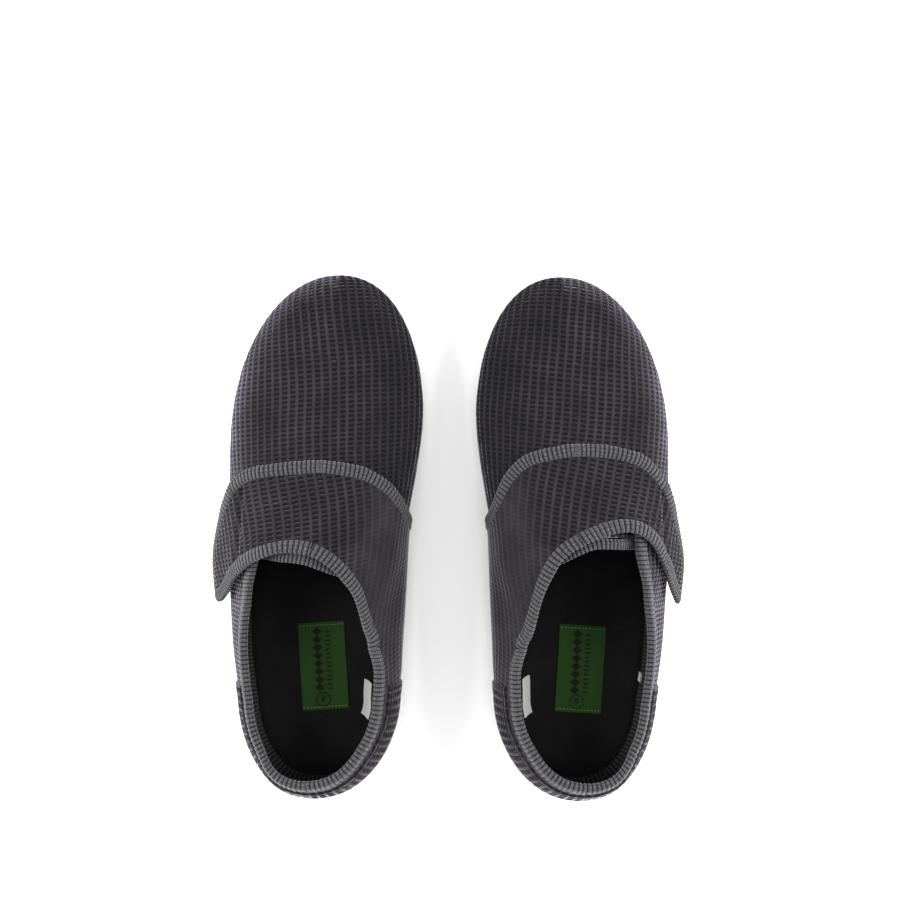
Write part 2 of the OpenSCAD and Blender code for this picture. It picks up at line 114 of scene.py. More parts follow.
def rounded(q):
    return np.maximum(0, 1 - q**ROUND) ** (1 / ROUND)


def half(y):
    return taper(y) * rounded(toe_q(y)) * rounded(heel_q(y))


def out_dir(y):
    across = np.where(y > BALL, rounded(toe_q(y)) ** (ROUND - 1) / HALF_WIDTH,
                      rounded(heel_q(y)) ** (ROUND - 1) / HEEL_HALF)
    along = np.where(y > BALL, toe_q(y) ** (ROUND - 1) / (TOE - BALL),
                     -(heel_q(y) ** (ROUND - 1)) / (HEEL_FAN - HEEL))
    size = np.hypot(across, along)
    return across / size, along / size


# how much narrower the inner side is along the arch of the foot
WAIST = ((-75, 0), (-50, 1.6), (-28, 3.4), (-5, 5.2), (7, 5.8), (20, 4.6), (41, 2.5), (60, 0.9), (76, 0))


def side_half(y, side):
    return half(y) - np.where(side < 0, soft(y, WAIST, 6), 0)


def spring(y):
    return 6 * (np.maximum(0, (y - 90) / (TOE - 90))) ** 2


def feather(y):
    return 14 + 6 * ease((40 - y) / 120) + spring(y)


def ridge_z(y):
    return 50 + 60 * ease((TOE_FAN - y) / (TOE_FAN - HEEL_FAN))


def ridge_x(y):
    return centre_x(y) + 15 * ease((20 - y) / 90)


def skin(y, a, d):
    """Point of the upper: a runs from 0 (outer side at the sole) over 90 (ridge) to 180, d is out from the last."""
    y, a, d = np.broadcast_arrays(np.asarray(y, float), np.asarray(a, float), np.asarray(d, float))
    th = np.where(a <= 90, a, 180 - a)
    side = np.where(a <= 90, 1.0, -1.0)
    d = d - np.where(side > 0, 4.2, 2.2) * ease((th - 8) / 22) * ease((62 - th) / 14) * ease(
        (-8 - y) / 30) * ease((y + 146) / 25)
    n = mix(1.7, 2.3, ease((y + 40) / 100))
    top_y = np.clip(y, HEEL_FAN, TOE_FAN)
    ox, oy = out_dir(y)
    tuck = d - 4 * np.maximum(0, 1 - th / 22) ** 2
    foot_x, foot_y = centre_x(y) + side * (side_half(y, side) + tuck * ox), y + tuck * oy
    c = np.cos(np.radians(th)).clip(0, 1)
    s = np.sin(np.radians(th)).clip(0, 1)
    e, g = 1 - c ** (2 / n), s ** (2 / n)
    return np.stack([mix(foot_x, ridge_x(top_y), e), mix(foot_y, top_y, e),
                     mix(feather(y), ridge_z(top_y) + d, g)], -1)


# ---- edges of the pieces, left then right ----------------------------------------
STRAP_FRONT = (
    ((38, 31), (46, 37), (60, 41.5), (90, 44.7), (112, 41), (130, 33), (144, 23.5), (160.5, 14), (180, 8)),
    ((38, 33), (46, 41), (60, 50.5), (75, 54), (90, 55), (112, 50), (120, 46.5), (132, 37.5),
     (145, 23.5), (160, 14), (180, 9)))
STRAP_REAR = (
    ((38, -22.5), (43, -18.4), (54.6, -11.4), (70, -5.4), (80, -4.8), (93, -6.3),
     (103, -11), (113, -17.7), (126, -30.2), (134.4, -45), (140, -55)),
    ((38, -15), (44.4, -4), (53.8, 4), (65, 8), (75.6, 6), (87.5, 1.5),
     (99, -3), (108, -8.8), (117, -19), (127, -33), (134, -46.5), (140, -57)))
TONGUE_REAR = (
    ((52, -9.5), (73, -10.3), (90, -11.5), (100, -14), (113, -17.8), (125, -21)),
    ((52, -3), (62, -2.7), (80, -1.7), (90, -3.5), (102, -7.7), (125, -16)))
VAMP_BACK = ((0, 38), (38, 27), (50, 21), (60, 18), (75, 12.5), (90, 12), (180, 12))
LATERAL_TOP = ((-150, 37.4), (-120, 33), (-90, 31), (-70, 32), (-55, 34.5),
               (-40, 39), (-20.6, 48.2), (-9.2, 56), (40, 57))
MEDIAL_TOP = ((-150, 142.6), (-120, 146.5), (-100, 148), (-85, 148), (-70, 147), (-56, 140), (60, 140))
QUARTER_FRONT = ((0, 12), (18, 14), (36, 18), (50, 19), (56, 12), (57, 5))
TAB_MID, TAB_HALF, TAB_BACK = (4.5, 8), (27.5, 25), (30, 36)


def strap_front(a, k):
    return soft(a, STRAP_FRONT[k], 5)


def strap_rear(a, k):
    return soft(a, STRAP_REAR[k], 4)


def vamp_back(a, k):
    return strap_front(np.maximum(a, 42), k) - soft(a, VAMP_BACK, 4)


def lateral_top(y):
    return soft(y, LATERAL_TOP, 8)


def medial_top(y):
    return soft(y, MEDIAL_TOP, 5)


def over(y, a):
    """How far the strap and the inner quarter stand out over the layers below them."""
    quarter = STRAP_RISE * ease((y + 55) / 30) * ease((np.minimum(a, 180 - a) - 20) / 20)
    strap = STRAP_RISE * ease((y + 55) / 30) + TAB_RISE * ease((80 - a) / 20)
    return np.where(a > HINGE, quarter, strap)


def running(p, axis):
    """Length run along one direction of a grid of points, from 0."""
    step = np.linalg.norm(np.diff(p, axis=axis), axis=2)
    start = np.zeros_like(np.take(step, [0], axis=axis))
    return np.concatenate([start, np.cumsum(step, axis=axis)], axis)


# ---- the cloth's own grain: arc length across and along the last ---------------------
def grain_table():
    turn = np.linspace(0, 1, 60)
    ys = np.concatenate([heel_rows(turn), np.linspace(HEEL_FAN, BALL, 80)[1:], toe_rows(turn[1:])])
    angles = np.linspace(0, 180, 181)
    y, a = np.meshgrid(ys, angles, indexing="ij")
    p = skin(y, a, 1.0)
    run = running(p, 1)
    arc = np.abs(run - run[:, 90:91])
    top_y = np.clip(y, HEEL_FAN, TOE_FAN)
    side = np.where(a <= 90, 1.0, -1.0)
    ox, oy = centre_x(y) + side * side_half(y, side) - ridge_x(top_y), y - top_y
    size = np.hypot(ox, oy)
    ridge = np.stack([ridge_x(top_y[:, 0]), top_y[:, 0], ridge_z(top_y[:, 0])], -1)
    along = np.concatenate([[0], np.cumsum(np.linalg.norm(np.diff(ridge, axis=0), axis=1))])
    start = np.interp(0, ys, along)
    return ys, arc * ox / size + centre_x(top_y) * 0.35, (along - start)[:, None] + arc * oy / size


GRAIN_Y, GRAIN_U, GRAIN_V = grain_table()


def grain(y, a):
    """Flat-cut coordinates of a point of the upper, in millimetres."""
    r = np.clip(np.interp(y, GRAIN_Y, np.arange(len(GRAIN_Y))), 0, len(GRAIN_Y) - 1.001)
    c = np.clip(a, 0, 179.999)
    i, j = r.astype(int), c.astype(int)
    s, t = r - i, c - j

    def at(table):
        return ((1 - s) * ((1 - t) * table[i, j] + t * table[i, j + 1])
                + s * ((1 - t) * table[i + 1, j] + t * table[i + 1, j + 1]))
    return np.stack([at(GRAIN_U), at(GRAIN_V)], -1)


def turned(uv, degrees):
    c, s = math.cos(math.radians(degrees)), math.sin(math.radians(degrees))
    return np.stack([uv[..., 0] * c - uv[..., 1] * s, uv[..., 0] * s + uv[..., 1] * c], -1)


def drift(uv, seed):
    """Slow wander of the cloth's rows, as cloth pulled over a last has."""
    rng = np.random.default_rng(seed)
    total = np.zeros_like(uv)
    for scale, size in ((70, 0.9), (31, 0.45), (14, 0.2)):
        ph = rng.uniform(0, 2 * math.pi, 4)
        total[..., 0] += size * np.sin(uv[..., 1] / scale * 2.2 + ph[0]) * np.cos(uv[..., 0] / scale + ph[1])
        total[..., 1] += size * 0.7 * np.sin(uv[..., 0] / scale * 2 + ph[2]) * np.cos(uv[..., 1] / scale + ph[3])
    return uv + total


# waffle velour: a pit every 4.8 mm across and 2.75 mm along, ringed by raised pile
CELL_U, CELL_V = 4.8, 2.75
PIT_U, PIT_V = (0.24, 0.44), (0.18, 0.44)  # where a pit's wall starts and ends, in cells from its middle


def waffle(uv):
    def window(x, edge):
        return 1 - ease((np.abs(x - np.floor(x) - 0.5) - edge[0]) / (edge[1] - edge[0]))
    return -0.7 * window(uv[..., 0] / CELL_U, PIT_U) * window(uv[..., 1] / CELL_V, PIT_V)


# ---- meshes --------------------------------------------------------------------------
def placed(p, k):
    """From the shaping frame to the pair: the left slipper is the mirror of the right, which is turned a little."""
    if k == 0:
        return p * np.array([-1.0, 1.0, 1.0])
    c, s = math.cos(math.radians(-1)), math.sin(math.radians(-1))
    return np.stack([p[..., 0] * c - p[..., 1] * s - 1.75, p[..., 0] * s + p[..., 1] * c, p[..., 2]], -1)


def normals(p):
    n = np.cross(np.gradient(p, axis=1), np.gradient(p, axis=0))
    size = np.linalg.norm(n, axis=2, keepdims=True)
    flat = size[..., 0] < 1e-9
    n = n / np.maximum(size, 1e-9)
    n[flat] = (0, 0, 1)
    return n


def into_scene(name, content):
    item = bpy.data.objects.new(name, content)
    bpy.context.scene.collection.objects.link(item)
    return item


def to_new_mesh(bm, name):
    mesh = bpy.data.meshes.new(name)
    bm.to_mesh(mesh)
    bm.free()
    return mesh


def laid(name, k, across, along, shape, relief=None, caps=False):
    """A bmesh grid laid on a surface. shape(u, v) gives its points and its flat coordinates in millimetres, and
    may add the depth of its relief and a factor of painted side light and shade for its colour."""
    bm = bmesh.new()
    bmesh.ops.create_grid(bm, x_segments=across, y_segments=along, size=0.5)
    mesh = to_new_mesh(bm, name)
    count = len(mesh.vertices)
    flat = np.empty(count * 3)
    mesh.vertices.foreach_get("co", flat)
    flat = flat.reshape(-1, 3) + 0.5
    order = np.lexsort((flat[:, 0].round(6), flat[:, 1].round(6)))
    columns = across + 1
    u = flat[order, 0].reshape(-1, columns)
    v = flat[order, 1].reshape(-1, columns)
    p, uv, *rest = shape(u, v)
    # the second extra value is painted side light and shade, a factor on the colour
    press, nap_tone_and_painted_light = [np.ones_like(u) * (rest[i] if len(rest) > i else 1.0) for i in (0, 1)]
    if relief is not None:
        p = p + normals(p) * (relief(uv, u, v) * press)[..., None]
    p = placed(p, k) * MM
    points, cuts = np.empty((count, 3)), np.empty((count, 2))
    points[order], cuts[order] = p.reshape(-1, 3), uv.reshape(-1, 2) * MM
    mesh.vertices.foreach_set("co", points.ravel())
    for attribute, values in (("press", press), ("nap_tone_and_painted_light", nap_tone_and_painted_light)):
        per_point = np.empty(count)
        per_point[order] = values.ravel()
        mesh.attributes.new(attribute, "FLOAT", "POINT").data.foreach_set("value", per_point)
    layer = mesh.uv_layers.new(name="grain")
    corner = np.empty(len(mesh.loops), int)
    mesh.loops.foreach_get("vertex_index", corner)
    layer.data.foreach_set("uv", cuts[corner].ravel())
    bm = bmesh.new()
    bm.from_mesh(mesh)
    bmesh.ops.remove_doubles(bm, verts=bm.verts, dist=2e-6)
    for edge in bm.edges:
        edge.smooth = not edge.is_boundary
    if caps:
        bmesh.ops.holes_fill(bm, edges=[e for e in bm.edges if e.is_boundary], sides=0)
    if k == 0:
        bmesh.ops.reverse_faces(bm, faces=bm.faces)
    bm.to_mesh(mesh)
    bm.free()
    mesh.polygons.foreach_set("use_smooth", [True] * len(mesh.polygons))
    mesh.update()
    return into_scene(name, mesh)


def thicken(piece, thickness, offset=-1.0):
    m = piece.modifiers.new("thickness", "SOLIDIFY")
    m.thickness = thickness * MM
    m.offset = offset
    m.use_rim = True
    return piece


def finish_piece(piece, material, slot, *nodes, body=None, bend=None):
    piece.data.materials.append(material)
    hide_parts(*nodes)
    if bend:
        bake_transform(piece)
    else:
        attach(piece, body)
    return piece


def in_pair(y, a, d, k):
    return tuple(placed(skin(y, a, d), k) * MM)


# ---- materials ---------------------------------------------------------------------------
def linear(code):
    """An sRGB hex colour as linear RGBA."""
    parts = [int(code[i:i + 2], 16) / 255 for i in (1, 3, 5)]
    return tuple(c / 12.92 if c <= 0.04045 else ((c + 0.055) / 1.055) ** 2.4 for c in parts) + (1.0,)


def add(tree, kind, links=None, **settings):
    """Adds a node. A setting that starts with in_ is the value of an input, any other is a property of the node,
    and links feed its inputs."""
    node = tree.nodes.new(kind)
    for key, value in settings.items():
        if key.startswith("in_"):
            slot_key = key[3:]
            node.inputs[int(slot_key) if slot_key.isdigit() else slot_key.replace("_", " ")].default_value = value
        else:
            setattr(node, key, value)
    for key, source in (links or {}).items():
        tree.links.new(source, node.inputs[key])
    return node


def new_material(name, roughness, specular=0.3, sheen=0.0, sheen_roughness=0.4, sheen_tint="#ffffff"):
    material = bpy.data.materials.new(name)
    material.use_nodes = True
    tree = material.node_tree
    shader = tree.nodes["Principled BSDF"]
    shader.inputs["Roughness"].default_value = roughness
    shader.inputs["Specular IOR Level"].default_value = specular
    shader.inputs["Sheen Weight"].default_value = sheen
    shader.inputs["Sheen Roughness"].default_value = sheen_roughness
    shader.inputs["Sheen Tint"].default_value = linear(sheen_tint)
    return material, tree, shader


def cell_window(tree, source, scale_mm, edge):
    """1 in the middle of each cell and 0 at its walls, along one direction of the cloth."""
    scaled = add(tree, "ShaderNodeMath", {0: source}, operation="MULTIPLY", in_1=1 / (scale_mm * MM))
    fraction = add(tree, "ShaderNodeMath", {0: scaled.outputs[0]}, operation="FRACT")
    centred = add(tree, "ShaderNodeMath", {0: fraction.outputs[0]}, operation="SUBTRACT", in_1=0.5)
    distance = add(tree, "ShaderNodeMath", {0: centred.outputs[0]}, operation="ABSOLUTE")
    return add(tree, "ShaderNodeMapRange", {"Value": distance.outputs[0]}, interpolation_type="SMOOTHSTEP",
               in_From_Min=edge[0], in_From_Max=edge[1], in_To_Min=1.0, in_To_Max=0.0)


def waffle_velour():
    # Polyester velour embossed with a waffle grid and bonded to thin foam: a raised, brushed pile that catches light
    # from the side. Its pits are darkened with painted shade, and its tone carries painted side light and shade.
    material, tree, shader = new_material("waffle embossed velour", 0.9, 0.12, 1.0, 0.25, "#c4c0c9")
    cut = add(tree, "ShaderNodeUVMap", uv_map="grain")
    parts = add(tree, "ShaderNodeSeparateXYZ", {0: cut.outputs[0]})
    across = cell_window(tree, parts.outputs[0], CELL_U, PIT_U)
    along = cell_window(tree, parts.outputs[1], CELL_V, PIT_V)
    cell = add(tree, "ShaderNodeMath", {0: across.outputs[0], 1: along.outputs[0]}, operation="MULTIPLY")
    press = add(tree, "ShaderNodeAttribute", attribute_name="press")
    pit = add(tree, "ShaderNodeMath", {0: cell.outputs[0], 1: press.outputs["Fac"]}, operation="MULTIPLY")
    groove = add(tree, "ShaderNodeMath", {0: across.outputs[0]}, operation="MULTIPLY", in_1=0.3)
    column = add(tree, "ShaderNodeMath", {0: groove.outputs[0], 1: press.outputs["Fac"]}, operation="MULTIPLY")
    nap_tone_and_painted_light = add(tree, "ShaderNodeTexNoise", {0: cut.outputs[0]}, in_Scale=45, in_Detail=3, in_Roughness=0.6)
    pile = add(tree, "ShaderNodeTexNoise", {0: cut.outputs[0]}, in_Scale=1400, in_Detail=2)
    pit_depth_and_shade = add(tree, "ShaderNodeMath", {0: pit.outputs[0], 1: column.outputs[0]}, operation="MAXIMUM")
    pile_cut = add(tree, "ShaderNodeMapRange", {"Value": pile.outputs[0]}, in_From_Min=0.3, in_From_Max=0.7,
                   in_To_Min=0.78, in_To_Max=1.22)
    nap_cut = add(tree, "ShaderNodeMapRange", {"Value": nap_tone_and_painted_light.outputs[0]}, in_From_Min=0.3, in_From_Max=0.7,
                  in_To_Min=0.62, in_To_Max=1.38)
    shade = add(tree, "ShaderNodeMath", {0: pile_cut.outputs[0], 1: nap_cut.outputs[0]}, operation="MULTIPLY")
    # painted shade: near black in the pits and darker along the pit columns, where the relief's hollows are shaded
    colour = add(tree, "ShaderNodeMix", {0: pit_depth_and_shade.outputs[0]}, data_type="RGBA",
                 in_6=linear("#1f1d22"), in_7=linear("#060507"))
    # painted light and shade: a per-point factor, lighter on the outer side and darker on the inner side
    brushed = add(tree, "ShaderNodeAttribute", attribute_name="nap_tone_and_painted_light")
    tone = add(tree, "ShaderNodeMath", {0: shade.outputs[0], 1: brushed.outputs["Fac"]}, operation="MULTIPLY")
    toned = add(tree, "ShaderNodeVectorMath", {0: colour.outputs[2], 3: tone.outputs[0]}, operation="SCALE")
    tree.links.new(toned.outputs[0], shader.inputs["Base Color"])
    grid_bump = add(tree, "ShaderNodeBump", {"Height": pit_depth_and_shade.outputs[0]}, invert=True, in_Strength=0.35,
                    in_Distance=0.0004)
    pile_bump = add(tree, "ShaderNodeBump", {"Height": pile.outputs[0], "Normal": grid_bump.outputs[0]},
                    in_Strength=0.5, in_Distance=0.00025)
    tree.links.new(pile_bump.outputs[0], shader.inputs["Normal"])
    return material


RIB = 2.5  # width of one rib of the knitted edge strip, in millimetres


def knit_binding():
    # Rib-knitted polyester strip folded over each edge: crosswise ribs, each rib a chain of small loops,
    # with painted shade darkening the gaps between ribs.
    material, tree, shader = new_material("rib knitted binding", 0.85, 0.2, 0.25, 0.4, "#dcdce0")
    cut = add(tree, "ShaderNodeUVMap", uv_map="grain")
    parts = add(tree, "ShaderNodeSeparateXYZ", {0: cut.outputs[0]})
    rib = cell_window(tree, parts.outputs[0], RIB, (0.2, 0.44))
    loops = cell_window(tree, parts.outputs[1], 1.7, (0.15, 0.5))
    knot = add(tree, "ShaderNodeMath", {0: loops.outputs[0]}, operation="MULTIPLY_ADD", in_1=0.45, in_2=0.55)
    height = add(tree, "ShaderNodeMath", {0: rib.outputs[0], 1: knot.outputs[0]}, operation="MULTIPLY")
    yarn = add(tree, "ShaderNodeTexNoise", {0: cut.outputs[0]}, in_Scale=1100, in_Detail=3)
    uneven = add(tree, "ShaderNodeMapRange", {"Value": yarn.outputs[0]}, in_From_Min=0.3, in_From_Max=0.7,
                 in_To_Min=0.4, in_To_Max=1.6)
    # painted shade: near black in the gaps between ribs and a little darker between loops, lighter on the ribs' tops
    colour = add(tree, "ShaderNodeMix", {0: height.outputs[0]}, data_type="RGBA",
                 in_6=linear("#050506"), in_7=linear("#3a393e"))
    toned = add(tree, "ShaderNodeVectorMath", {0: colour.outputs[2], 3: uneven.outputs[0]}, operation="SCALE")
    tree.links.new(toned.outputs[0], shader.inputs["Base Color"])
    rib_bump = add(tree, "ShaderNodeBump", {"Height": height.outputs[0]}, in_Strength=0.7, in_Distance=0.0005)
    yarn_bump = add(tree, "ShaderNodeBump", {"Height": yarn.outputs[0], "Normal": rib_bump.outputs[0]},
                    in_Strength=0.4, in_Distance=0.0002)
    tree.links.new(yarn_bump.outputs[0], shader.inputs["Normal"])
    return material


def napped(name, dark, light, sheen, fuzz_mm, bump_mm):
    """A plain napped or foamed surface: two close tones broken up at the size of its fibres or cells."""
    material, tree, shader = new_material(name, 0.95, 0.1, sheen, 0.5)
    place = add(tree, "ShaderNodeTexCoord")
    fuzz = add(tree, "ShaderNodeTexNoise", {0: place.outputs["Object"]}, in_Scale=1 / (fuzz_mm * MM), in_Detail=3)
    patch = add(tree, "ShaderNodeTexNoise", {0: place.outputs["Object"]}, in_Scale=60, in_Detail=2)
    both = add(tree, "ShaderNodeMath", {0: fuzz.outputs[0], 1: patch.outputs[0]}, operation="MULTIPLY")
    tone = add(tree, "ShaderNodeMapRange", {"Value": both.outputs[0]}, in_From_Min=0.12, in_From_Max=0.4)
    colour = add(tree, "ShaderNodeMix", {0: tone.outputs[0]}, data_type="RGBA", in_6=linear(dark), in_7=linear(light))
    tree.links.new(colour.outputs[2], shader.inputs["Base Color"])
    bump = add(tree, "ShaderNodeBump", {"Height": fuzz.outputs[0]}, in_Strength=0.6, in_Distance=bump_mm * MM)
    tree.links.new(bump.outputs[0], shader.inputs["Normal"])
    return material


def striped(name, dark, light, pitch_mm, along_uv, depth_mm):
    """A woven or moulded surface of fine parallel ribs, along one direction of the piece's own cloth."""
    material, tree, shader = new_material(name, 0.85, 0.12, 0.03, 0.4)
    cut = add(tree, "ShaderNodeUVMap", uv_map="grain")
    parts = add(tree, "ShaderNodeSeparateXYZ", {0: cut.outputs[0]})
    rib = cell_window(tree, parts.outputs[along_uv], pitch_mm, (0.15, 0.5))
    thread = cell_window(tree, parts.outputs[1 - along_uv], pitch_mm * 0.45, (0.2, 0.5))
    weave = add(tree, "ShaderNodeMath", {0: thread.outputs[0]}, operation="MULTIPLY_ADD", in_1=0.3, in_2=0.7)
    height = add(tree, "ShaderNodeMath", {0: rib.outputs[0], 1: weave.outputs[0]}, operation="MULTIPLY")
    # painted shade: darker in the grooves between ribs and threads, lighter on their tops
    colour = add(tree, "ShaderNodeMix", {0: height.outputs[0]}, data_type="RGBA", in_6=linear(dark), in_7=linear(light))
    tree.links.new(colour.outputs[2], shader.inputs["Base Color"])
    bump = add(tree, "ShaderNodeBump", {"Height": height.outputs[0]}, in_Strength=0.8, in_Distance=depth_mm * MM)
    tree.links.new(bump.outputs[0], shader.inputs["Normal"])
    return material


def sole_rubber():
    # Thermoplastic rubber, injection moulded in a sparked steel mould: matt, nearly black, with a fine even grain.
    material, tree, shader = new_material("moulded thermoplastic rubber", 0.62, 0.4)
    place = add(tree, "ShaderNodeTexCoord")
    grain_noise = add(tree, "ShaderNodeTexNoise", {0: place.outputs["Object"]}, in_Scale=1500, in_Detail=2)
    scuff = add(tree, "ShaderNodeTexNoise", {0: place.outputs["Object"]}, in_Scale=35, in_Detail=5)
    rough = add(tree, "ShaderNodeMapRange", {"Value": scuff.outputs[0]}, in_To_Min=0.5, in_To_Max=0.75)
    colour = add(tree, "ShaderNodeMix", {0: scuff.outputs[0]}, data_type="RGBA",
                 in_6=linear("#1d1d1f"), in_7=linear("#2a2a2c"))
    tree.links.new(colour.outputs[2], shader.inputs["Base Color"])
    tree.links.new(rough.outputs[0], shader.inputs["Roughness"])
    bump = add(tree, "ShaderNodeBump", {"Height": grain_noise.outputs[0]}, in_Strength=0.4, in_Distance=0.0002)
    tree.links.new(bump.outputs[0], shader.inputs["Normal"])
    return material


VELOUR_CLOTH = waffle_velour()
KNIT = knit_binding()
# Brushed polyester fleece: short black nap that shows almost no shine.
FLEECE = napped("brushed fleece", "#040404", "#0b0b0b", 0.03, 0.7, 0.35)
# Ribbed woven tape that hides the seam between wall and footbed: fine black upright ribs.
TAPE = striped("ribbed woven tape", "#020202", "#242426", 2.2, 0, 0.5)
# Satin-woven polyester label: smooth green with very fine threads.
LABEL = striped("satin woven label", "#0c1c04", "#172f09", 0.5, 0, 0.05)
# Polyester embroidery thread, lighter green along the label's sewn ends.
THREAD_GREEN = striped("green sewing thread", "#24400f", "#386020", 0.4, 0, 0.05)
# The same thread in black for the label's woven marks.
THREAD_BLACK = striped("black woven thread", "#030303", "#070906", 0.4, 0, 0.05)
# White printed satin ribbon: smooth, slightly bright, with faint grey lines.
TAG = striped("white satin ribbon", "#505050", "#8a8a88", 1.6, 1, 0.03)
RUBBER = sole_rubber()
# Closed-cell foam, cut from a block: a dull skin of small cells.
FOAM = napped("closed-cell foam", "#202022", "#2f2f31", 0.0, 0.8, 0.3)
# Pressed cellulose board: brown, with short fibres.
BOARD = napped("pressed fibre board", "#5f4a34", "#8a7050", 0.0, 1.2, 0.15)
# Non-woven stiffener soaked with resin: off-white and a little shiny.
STIFFENER = napped("resin bonded stiffener", "#9a9080", "#c4baa6", 0.0, 0.9, 0.15)
# Looped nylon pile, and the moulded hooks that grip it.
LOOPS = napped("nylon loop pile", "#0f0f10", "#242426", 0.3, 0.6, 0.6)
HOOKS = striped("moulded nylon hooks", "#050506", "#26262a", 1.2, 1, 0.6)

# ---- shapes of the upper's pieces -----------------------------------------------------------
# along a quarter from the back seam: the share that rounds the heel, where the straight side ends, and y there
HEEL_SHARE, SIDE_SPLIT, SIDE_Y = 0.35, 0.82, -9.0


def side_row(s):
    straight = mix(HEEL_FAN, SIDE_Y, clamp01((s - HEEL_SHARE) / (SIDE_SPLIT - HEEL_SHARE)))
    return np.where(s < HEEL_SHARE, heel_rows(clamp01(s / HEEL_SHARE)), straight)


def front_part(s):
    return clamp01((s - SIDE_SPLIT) / (1 - SIDE_SPLIT))


def lateral_ya(s, f, k, drop, lining=False):
    y0 = side_row(s)
    a = f * (lateral_top(y0) - drop)
    end = vamp_back(a, k) - 0.6 if lining else soft(a, QUARTER_FRONT, 4)
    return mix(y0, end, front_part(s)), a


def medial_ya(s, f, k, drop, lining=False):
    y0 = side_row(s)
    a = 180 - f * (180 - medial_top(y0) - drop * (1 - ease((y0 + 60) / 8)))
    end = vamp_back(a, k) - 0.6 if lining else strap_front(a, k) - BIND
    return mix(y0, end, front_part(s)), a


def band(k, lat, med, lo, hi, drop, d):
    """Round the heel from the outer side's front to the inner side's front."""
    def shape(u, v):
        s, f = np.abs(2 * u - 1), mix(lo, hi, v)
        yl, al = lateral_ya(s * lat, f, k, drop, True)
        ym, am = medial_ya(s * med, f, k, drop, True)
        y, a = np.where(u < 0.5, ym, yl), np.where(u < 0.5, am, al)
        p = skin(y, a, d)
        return p, np.stack([running(p, 1)[:1] + 0 * u, running(p, 0)], -1)
    return shape


def painted_side_light(a):
    # painted light and shade: the pile's colour is made lighter on the outer side, standing in for the side lights'
    # sheen there, and darker on the inner side, where shade falls between the pair
    return 1 + 4.0 * ease((52 - a) / 50) - 0.35 * ease((a - 95) / 40)


def vamp_shape(k, d, seed=None):
    def shape(u, v):
        a = 180 * (1 - u)
        y = np.where(v < 0.2, mix(vamp_back(a, k), BALL, clamp01(v / 0.2)), toe_rows(clamp01((v - 0.2) / 0.8)))
        uv = grain(y, a)
        # the last value paints side light and shade into the velour's colour
        return skin(y, a, d), drift(turned(uv, 5), seed) if seed is not None else uv, 1.0, painted_side_light(a)
    return shape


def inset_edge(edge, a, k, inset):
    """Where a line runs that lies inset millimetres inside an edge, on the side of larger y for inset > 0."""
    h = 0.2
    y = edge(a, k)
    slope = (edge(a + h, k) - edge(a - h, k)) / (2 * h)
    along = (skin(y + h, a, 0) - skin(y - h, a, 0)) / (2 * h)
    around = (skin(y, a + h, 0) - skin(y, a - h, 0)) / (2 * h)
    track = around + along * slope[..., None]
    size = np.linalg.norm(track, axis=-1)
    return y + inset * size / np.linalg.norm(np.cross(along, track), axis=-1)


SPLIT_Y = -58.0
STRAP_TURN = 12.0  # how far the strap's rows are turned against the vamp's, in degrees


def strap_cut(y, a, seed):
    """The strap's own cut: its rows swing round towards the inner side."""
    uv = grain(y, a)
    return drift(turned(uv, STRAP_TURN), seed)


def inner_strap_shape(k, d, seed, inset=5.0, lowest=180.0):
    """Inner quarter forward of the heel part, and the strap up to the ridge, as one cloth."""
    def shape(u, v):
        a = mix(lowest, 90.0, u)
        rear = inset_edge(strap_rear, np.minimum(a, 139.0), k, inset)
        rear = mix(np.maximum(rear, SPLIT_Y), SPLIT_Y, clamp01((a - 139) / 6))
        front = inset_edge(strap_front, a, k, -inset)
        y = mix(rear, front, v)
        return skin(y, a, d + over(y, a)), strap_cut(y, a, seed), 1 - 0.6 * ease((a - 106) / 26)
    return shape


def tab_ya(v, u, k, inset):
    w = v * (1 - inset / 44)
    reach = (TAB_HALF[k] - 9 * w - inset) * np.maximum(0, 1 - np.maximum(0, (v - 0.5) / 0.5) ** 2.2) ** (1 / 2.2)
    return TAB_MID[k] - TAB_BACK[k] * w + u * reach, CREASE - 0.3 - 30 * w


FOLD_AT = (46.0, 40.0)  # where each strap's cloth has been folded, in degrees round the last


def flare(y, a):
    """How far the tab's free corner stands off, and the dent of the fold above it."""
    return 3.2 * ease((34 - a) / 20) * ease((14 - y) / 30)


def fold(y, a, k):
    line = FOLD_AT[k] + 0.12 * (y - 8)
    return 1.3 * np.exp(-((a - line) / 2.0) ** 2) * ease((y + 24) / 12) * ease((38 - y) / 10)


def outer_strap_shape(k, d, seed, inset=5.0):
    """Strap from the ridge to the outer side, and its tab, as one cloth."""
    def shape(u, v):
        a1 = mix(90.0, CREASE, clamp01(u / 0.56))
        rear, front = inset_edge(strap_rear, a1, k, inset), inset_edge(strap_front, a1, k, -inset)
        t = clamp01((u - 0.56) / 0.44)
        y2, a2 = tab_ya(np.sin(np.radians(90 * t)), 2 * v - 1, k, inset)
        crease = np.full_like(a1, CREASE)
        seam = mix(inset_edge(strap_rear, crease, k, inset), inset_edge(strap_front, crease, k, -inset), v)
        y2 = y2 + (seam - tab_ya(0.0, 2 * v - 1, k, inset)[0]) * (1 - ease(t / 0.7))
        y, a = np.where(u < 0.56, mix(rear, front, v), y2), np.where(u < 0.56, a1, a2)
        return skin(y, a, d + over(y, a) + flare(y, a) - fold(y, a, k)), strap_cut(y, a, seed)
    return shape


def tongue_dip(a):
    """How far the tongue's outer end is pressed in under the strap."""
    return 3.3 * ease((68 - a) / 10)


def tongue_shape(k, d):
    def shape(u, v):
        a = mix(125.0, 50.0, u)
        rear = soft(a, TONGUE_REAR[k], 5)
        y = mix(rear + BIND - 1, vamp_back(a, k) - 0.4, v)
        return skin(y, a, d - tongue_dip(a) * ease((24 - y) / 8)), drift(grain(y, a), 5)
    return shape


